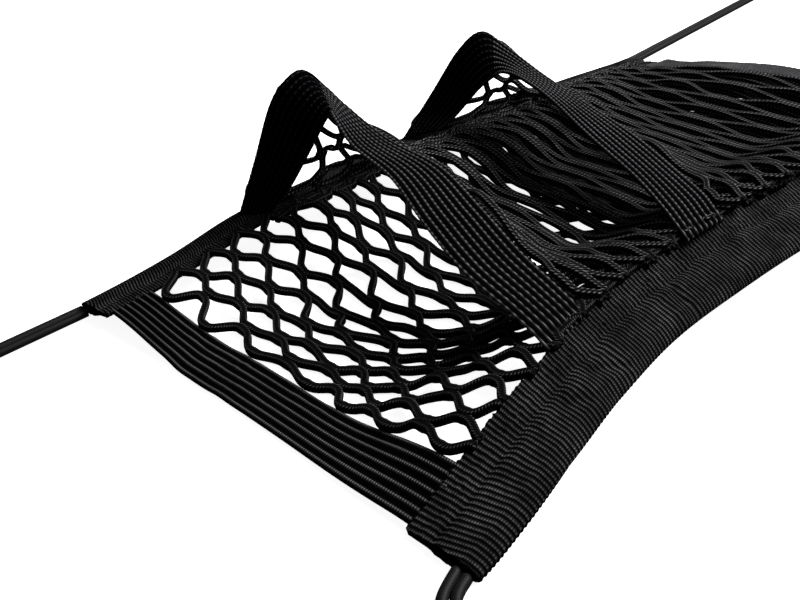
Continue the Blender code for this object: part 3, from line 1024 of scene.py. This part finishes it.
def pocket_net_grid(pocket):
    """Points all over a pocket net's middle surface, from its band to the closed end."""
    place = np.linspace(0.0, len(pocket.band) - 1, CLOTH_GRID)[:, None]
    along = np.linspace(0.0, 1.0, CLOTH_GRID)
    return pocket_points(pocket, *np.broadcast_arrays(place, along))


def pocket_strand(pocket, strand):
    """One zigzag strand of a pocket net, from the near hem to the far one, and its places."""
    row = np.arange(len(POCKET_ROWS))
    side = np.where((strand + row) % 2 == 0, 1.0, -1.0)
    junction = strand + 0.5 + 0.5 * side
    uneven = POCKET_UNEVEN * wobble(junction * 3.7 + row * 2.3, row * 1.3)
    raised = POCKET_STRAND_LIFT * (1.0 + wobble(junction * 2.9 + row * 5.3, row * 0.7))
    place, *crossing = crossings(len(POCKET_ROWS))
    share = smooth_rows(POCKET_ROWS, place)
    strayed = POCKET_ROW_UNEVEN * wobble(strand, place * 0.5)
    far_to_near = np.clip(1.0 - np.clip(share, 0.0, 1.0) + strayed, 0.0, 1.0)
    along = np.clip(between((junction + uneven) / pocket.strands, *crossing), 0.0, 1.0)
    points = pocket_points(pocket, far_to_near * (len(pocket.band) - 1), along)
    points[:, 0] -= between(side * JUNCTION_HALF, *crossing)
    far_tuck = rise(1.0 - share, NET_TUCK_SHARE) * (1.0 - rise(along, NET_TUCK_FADE))
    points[:, 1] += NET_TUCK * (far_tuck - rise(share, NET_TUCK_SHARE))
    points[:, 2] += between(raised, *crossing)
    return points, place


def make_pocket_net(pocket, material):
    shape = Shape()
    for strand in range(pocket.strands):
        points, place = pocket_strand(pocket, strand)
        add_strand(shape, points, knotted(POCKET_STRAND_RADIUS, place))
    name = f"pocket_net_{pocket.number}"
    piece = shape.build(name + "_strands", material)
    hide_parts(name)
    flat, area = cloth_size(pocket_net_grid(pocket))


def rounded(v, width, edge):
    """A cloth's thickness v from its edge, as a share of the one beyond the reach of its edges."""
    return np.sqrt(np.clip(np.minimum(v, width - v) / edge.reach, edge.least, 1.0))


def elastic_half(v, width, rib_pitch):
    """Half thickness of a ribbed elastic, v millimetres from its sewn edge."""
    rib = ripples(v - RIB_FIRST, rib_pitch)
    return (ELASTIC_BODY_HALF + RIB_HEIGHT * rib**2) * rounded(v, width, ELASTIC_EDGE)


def make_pocket_band(pocket, material, painted_shade_material):
    """A pocket's standing elastic. Its far leg, up to the crest, has a darker copy of its
    material: painted shade.
    """
    last = len(pocket.band) - 1
    coarse, _ = strip_edges(pocket.band, np.linspace(0.0, last, last * BAND_COARSE + 1))
    coarse_reach = lengths_along(coarse)
    length = coarse_reach[-1]
    reach = np.linspace(0.0, length, int(length / BAND_STEP))
    place = np.interp(reach, coarse_reach, np.linspace(0.0, last, len(coarse)))
    sewn, free = strip_edges(pocket.band, place)
    v = np.linspace(0.0, ELASTIC_WIDTH, ELASTIC_COLUMNS)[None, :]
    points = blend(sewn[:, None, :], free[:, None, :], (v / ELASTIC_WIDTH)[..., None])
    foot = 1.0 - rise(place - last + BAND_FOOT_REACH, BAND_FOOT_REACH)
    points = points - BAND_FOOT * foot[:, None, None]
    outward = unit(sewn - free)[:, None, :]
    ribs = (v - RIB_FIRST) / pocket.rib_pitch
    beads = reach[:, None] / pocket.bead_pitch + BEAD_STAGGER * np.round(ribs)
    crest_reach = float(np.interp(pocket.crest_place, place, reach))
    far_leg = rise(reach - crest_reach, FAR_LEG_REACH)[:, None]
    bead = ripples(beads, 1.0) * (1.0 - FAR_LEG_PLAIN * far_leg)
    at_rim = np.clip(1.0 - v / RIM_WIDTH, 0.0, 1.0)
    points = points + outward * (RIM_BEAD_OUT * bead * at_rim)[..., None]
    rib = ripples(v - RIB_FIRST, pocket.rib_pitch)
    half = elastic_half(v, ELASTIC_WIDTH, pocket.rib_pitch)
    half = half + (BEAD_HEIGHT * rib**2 + RIM_BEAD_HEIGHT * at_rim) * bead
    shape = Shape()
    add_sheet(shape, points, half, beads, ribs)
    name = f"pocket_elastic_{pocket.number}"
    crest_beads = crest_reach / pocket.bead_pitch
    piece = shape.build(name + "_weave", material, painted_shade_material, crest_beads)
    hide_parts(name)


def end_band_width(share):
    gathered = sum(
        gather.width * (1.0 - rise(share - gather.from_share, gather.reach))
        for gather in END_GATHERS
    )
    return END_BAND_WIDTH - gathered


def make_end_band(material):
    share = np.linspace(*END_SHARES, END_ROWS)[:, None]
    v = np.linspace(0.0, END_BAND_WIDTH, END_COLUMNS)[None, :]
    swayed_edge = END_EDGE_SWAY * wobble(share * 7.0, 4.0) * (1.0 - v / END_BAND_WIDTH)
    x = END_BAND_OUTER_X + swayed_edge + v * end_band_width(share) / END_BAND_WIDTH
    ripple = END_RIPPLE * wobble(share * 12.0, v * 0.12)
    half = np.broadcast_to(elastic_half(v, END_BAND_WIDTH, END_RIB_PITCH), x.shape)
    points = ground_points(x, np.broadcast_to(share, x.shape), END_LEVEL_HALF, ripple)
    reach = lengths_along(points)
    shape = Shape()
    add_sheet(shape, points, half, reach / END_BEAD_PITCH, (v - RIB_FIRST) / END_RIB_PITCH)
    piece = shape.build("open_end_elastic_weave", material)
    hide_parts("open_end_elastic")


def tape_outline():
    """How far inward the places round a side tape lie, and which are on its upper face."""
    flat = np.linspace(BINDING_WIDTH + HEM_OVERLAP, TAPE_FLAT_TO, TAPE_TOP_COLUMNS)
    over = np.concatenate((flat, TAPE_ROUNDING))
    inward = np.concatenate((over, over[::-TAPE_UNDER_EVERY]))[None, :]
    return inward, np.arange(inward.shape[1])[None, :] < len(over)


def tape_skew(x, inward, crease_at):
    """How far a side tape's ribs lean along it, over its tube and over its hem."""
    on_tube = np.clip((crease_at - inward) / TUBE_FADE, 0.0, 1.0)
    from_crease = np.clip(CREASE.inward - inward, 0.0, TUBE_LEAN_REACH)
    over_tube = TUBE_LEAN * from_crease + swayed(TUBE_SWAY, x)
    over_hem = HEM_LEAN * (inward - CREASE.inward) + swayed(HEM_SWAY, x)
    return on_tube * over_tube + (1.0 - on_tube) * over_hem


def tape_marks(x, inward, crease_at):
    """The marks on a side tape, each with the distance from its middle and how strong it is."""
    creased = 1.0 - CREASE_DEPTH_SWAY.amount + swayed(CREASE_DEPTH_SWAY, x)
    stitched = 1.0 - STITCH_SHARE + STITCH_SHARE * np.cos(TAU * x / STITCH_PITCH)
    crumpled = wobble(x * 0.3, inward * 0.5)
    swollen = wobble(x * 0.055 + inward * 0.1, 1.0)
    folded = FOLD_SWAY.amount + swayed(FOLD_SWAY, x)
    return (
        (CREASE, inward - crease_at, creased),
        (STITCHES, inward - STITCHES.inward, stitched),
        (CRUMPLE, inward - CRUMPLE.inward, crumpled),
        (SWELL, inward - SWELL.inward, swollen),
        (FOLD, inward - crease_at + FOLD.inward, folded),
    )


def tape_edges(tape, x, inward, rib):
    """Places across and along a side tape, with its toothed edges and its frayed open end."""
    inner_edge = np.exp((inward - (BINDING_WIDTH + HEM_OVERLAP)) / INNER_TEETH_REACH)
    across = inward - OUTER_TEETH * rib * np.exp(-inward / OUTER_TEETH_REACH)
    across = across + INNER_TEETH * rib * inner_edge + swayed(EDGE_SWAY, x) * inner_edge
    across = tape.outer + across * (BINDING_WIDTH - tape.outer) / BINDING_WIDTH
    frayed = FRAY * np.exp(-(x - x[0]) / FRAY_REACH) * (wobble(inward * 1.9, 7.0) - 1.0)
    return across, x + frayed


def make_side_binding(tape, material):
    """A tape folded over the net's edge: a tube for the cord outside, a stitched hem inside."""
    start, end = tape.side[0].x, tape.side[-1].x
    x = np.linspace(start, end, int((end - start) / TAPE_STEP))[:, None]
    inward, is_over = tape_outline()
    half = np.interp(inward, *np.array(BINDING_SECTION).T)
    crease_at = CREASE.inward + swayed(CREASE_SWAY, x)
    skew = tape_skew(x, inward, crease_at)
    rib = ripples(x + skew, tape.rib_pitch)
    relief = tape.rib_height * rib
    for mark, distance, strength in tape_marks(x, inward, crease_at):
        relief = relief + mark.height * (bell(distance, mark.spread) * strength)
    upper = np.maximum(half + relief, TAPE_LEAST_LIFT)
    lift = np.where(is_over, upper, -half - tape.rib_height * rib)
    across, along = tape_edges(tape, x, inward, rib)
    points = side_points(tape.side, along, across, lift)
    around = np.cumsum(np.abs(np.diff(inward[0])) + WEAVE_OVER_STEP)
    v = np.concatenate(([0.0], around, [around[-1] + WEAVE_OVER_SEAM]))
    shape = Shape()
    u = (x + skew) / tape.rib_pitch
    end_uvs = np.zeros((2, inward.shape[1], 2))
    add_rings(shape, points, u, v, end_uvs, flipped=tape.side is NEAR_SIDE)
    piece = shape.build(tape.name + "_tape", material)
    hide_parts(tape.name)


def make_closed_end(material):
    share = np.linspace(-CLOSED_TUCK_SHARE, 1.0 + CLOSED_TUCK_SHARE, CLOSED_ROWS)[:, None]
    v = np.linspace(0.0, CLOSED_END_WIDTH, CLOSED_COLUMNS)[None, :]
    from_corner = np.minimum(share, 1.0 - share)
    scallop = SCALLOP_DEPTH * ripples(share * CLOSED_LENGTH, SCALLOP_PITCH)
    x = column(CLOSED_END, "share", "x", share) - v - scallop * np.exp(-v / SCALLOP_REACH)
    level = blend(hem_edge(NEAR_SIDE, x), hem_edge(FAR_SIDE, x), share[..., None])
    z = blend(inner_end_z(share), level[..., 2], rise(from_corner, CLOSED_END_BLEND))
    towards_far = 1.0 - rise(share - FAR_LIFT_FROM, FAR_LIFT_REACH)
    lift = CLOSED_LIFT + CLOSED_FAR_LIFT * towards_far
    lift = lift * (1.0 - rise(from_corner, CLOSED_LIFT_BLEND))
    points = stack(x, level[..., 1], z + lift * (1.0 - v / CLOSED_END_WIDTH))
    half = CLOSED_END_HALF * rounded(v, CLOSED_END_WIDTH, CLOSED_EDGE)
    half = half + CLOSED_RIB_HEIGHT * np.cos(TAU * share * CLOSED_LENGTH / CLOSED_RIB_PITCH)
    half = half + CLOSED_UNEVEN * wobble(share * 30.0, v * 0.3)
    reach = lengths_along(points)
    shape = Shape()
    add_sheet(shape, points, half, reach, v)
    piece = shape.build("closed_end_tape", material)
    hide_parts("closed_end_binding")


# ---- Floor and light


def make_floor():
    """A round floor that turns up into a wall and a ceiling, all one pale shell."""
    turned = math.pi * np.arange(COVE_STEPS + 1) / COVE_STEPS
    reach = np.concatenate(([0.0], FLOOR_RADIUS + COVE_RADIUS * np.sin(turned), [0.0]))
    height = COVE_RADIUS - COVE_RADIUS * np.cos(turned)
    height = np.concatenate(([0.0], height, [2.0 * COVE_RADIUS]))[:, None]
    angle = TAU * np.arange(FLOOR_SIDES) / FLOOR_SIDES
    points = stack(reach[:, None] * np.cos(angle), reach[:, None] * np.sin(angle), height)
    number = np.arange(reach.size * FLOOR_SIDES).reshape(reach.size, FLOOR_SIDES)
    after = np.roll(number, -1, axis=1)
    faces = np.stack((number[:-1], after[:-1], after[1:], number[1:]), axis=-1)
    mesh = bpy.data.meshes.new("floor")
    mesh.from_pydata(points.reshape(-1, 3).tolist(), [], faces.reshape(-1, 4).tolist())
    mesh.shade_smooth()
    mesh.materials.append(floor_material())
    floor = add_object("floor", mesh)
    floor.visible_diffuse = False
    floor.visible_glossy = False
    floor.visible_shadow = False


def make_light(lamp):
    light = bpy.data.lights.new(lamp.name, "AREA")
    light.shape = "DISK"
    light.size = lamp.size
    light.energy = lamp.watts
    place = Vector(lamp.place)
    facing = (-place).to_track_quat("-Z", "Y").to_matrix().to_4x4()
    add_object(lamp.name, light).matrix_world = Matrix.Translation(place) @ facing


def make_world():
    world = bpy.data.worlds.new("studio")
    world.use_nodes = True
    back = world.node_tree.nodes["Background"]
    back.inputs["Color"].default_value = (1.0, 1.0, 1.0, 1.0)
    back.inputs["Strength"].default_value = WORLD_STRENGTH
    bpy.context.scene.world = world


make_camera()
sheath = sheath_material()
for corner_cord in CORDS:
    make_cord(corner_cord, sheath)
# The base net's cord has finer rungs, and its threads are darker than the pocket nets': painted
# shade from the pockets above it.
shade_darkened_base_cord = cord_net_material("base_net_cord_painted_shade", rung_pitch=1.3, thread_sheen_colour=(0.15, 0.145, 0.147))
make_base_net(shade_darkened_base_cord)
net_cord = cord_net_material("net_cord", rung_pitch=2.3, thread_sheen_colour=(0.42, 0.41, 0.42))
for made_pocket in POCKETS:
    make_pocket_net(made_pocket, net_cord)
elastic = elastic_material("ribbed_elastic", thread_sheen_colour=(0.2, 0.196, 0.205))
# The same elastic with darker threads: painted shade for the pockets' far legs, which turn from
# the key lamp.
painted_shade_elastic = elastic_material("ribbed_elastic_painted_shade", thread_sheen_colour=(0.03, 0.03, 0.034))
for made_pocket in POCKETS:
    make_pocket_band(made_pocket, elastic, painted_shade_elastic)
make_end_band(elastic)
grosgrain = tape_material(
    "grosgrain_tape", rib_pitch=1.0, warp_pitch=1.4, dark=BLACK_TAPE, light=(0.175, 0.168, 0.175)
)
for side_tape in SIDE_TAPES:
    make_side_binding(side_tape, grosgrain)
fine_tape = tape_material(
    "fine_tape", rib_pitch=1.6, warp_pitch=1.2, dark=(0.03, 0.029, 0.031), light=(0.24, 0.23, 0.24)
)
make_closed_end(fine_tape)
make_floor()
for lamp in LAMPS:
    make_light(lamp)
make_world()
bpy.context.scene.view_settings.view_transform = "Standard"
